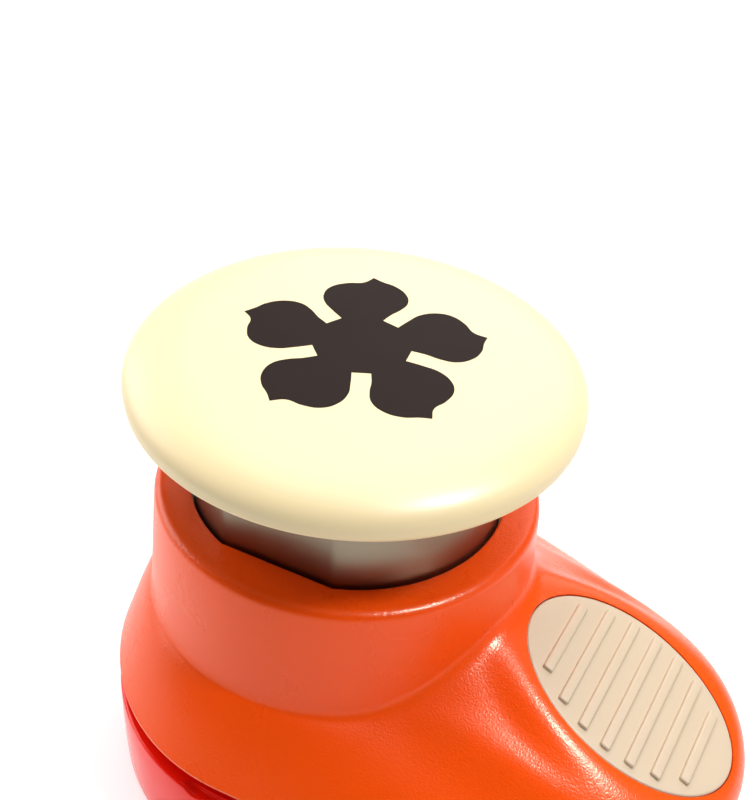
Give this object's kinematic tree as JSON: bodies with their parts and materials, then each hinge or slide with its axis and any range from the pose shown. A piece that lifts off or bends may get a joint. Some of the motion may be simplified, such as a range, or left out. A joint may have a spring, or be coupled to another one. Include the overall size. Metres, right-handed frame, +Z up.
{
  "type": "craft punch",
  "caption": "Push-button paper punch with a round button, a sprung sliding plunger, a flower-shaped cutter, an open paper slot and a ribbed thumb pad on its tail.",
  "frame": {"origin": "middle of the body's bounding box in plan, on the surface the base stands on", "axes": "+Z up along the punch stroke, +X from the round front towards the thumb pad, +Y to the left of the tail"},
  "size_m": [0.076, 0.0566, 0.056],
  "materials": {
    "cream_plastic": "moulded satin-gloss cream plastic",
    "orange_plastic": "moulded orange plastic with a fine satin grain",
    "red_plastic": "moulded glossy red plastic",
    "pad_plastic": "moulded matt cream plastic",
    "satin_metal": "satin nickel-plated cast metal",
    "cutter_steel": "ground tool steel",
    "spring_steel": "drawn spring wire",
    "zinc_plate": "bright zinc plate",
    "print_ink": "pad-printed dark brown ink"
  },
  "bodies": {
    "frame": {"return_spring": "spring_steel", "spring_washer": "zinc_plate", "guide_plate": "cutter_steel", "die_plate": "cutter_steel", "paper_stop": "zinc_plate", "upper_housing": "orange_plastic", "thumb_pad": "pad_plastic", "base_housing": "red_plastic", "plate_screw_1": "zinc_plate", "plate_screw_2": "zinc_plate", "die_screw_1": "zinc_plate", "die_screw_2": "zinc_plate", "guide_screw_1": "zinc_plate", "guide_screw_2": "zinc_plate", "housing_screw_1": "zinc_plate", "housing_screw_2": "zinc_plate"},
    "press": {"button_cap": "cream_plastic", "plunger": "satin_metal", "male_punch": "cutter_steel", "button_screw_1": "zinc_plate", "button_screw_2": "zinc_plate", "button_screw_3": "zinc_plate", "punch_screw_1": "zinc_plate", "punch_screw_2": "zinc_plate"}
  },
  "joints": [
    {"name": "press", "type": "slide", "parent": "frame", "child": "press", "axis": [0, 0, -1], "range_m": [0, 0.009], "stiffness_N_per_m": 900, "springref_m": -0.004, "deforming": ["return_spring"]}
  ]
}
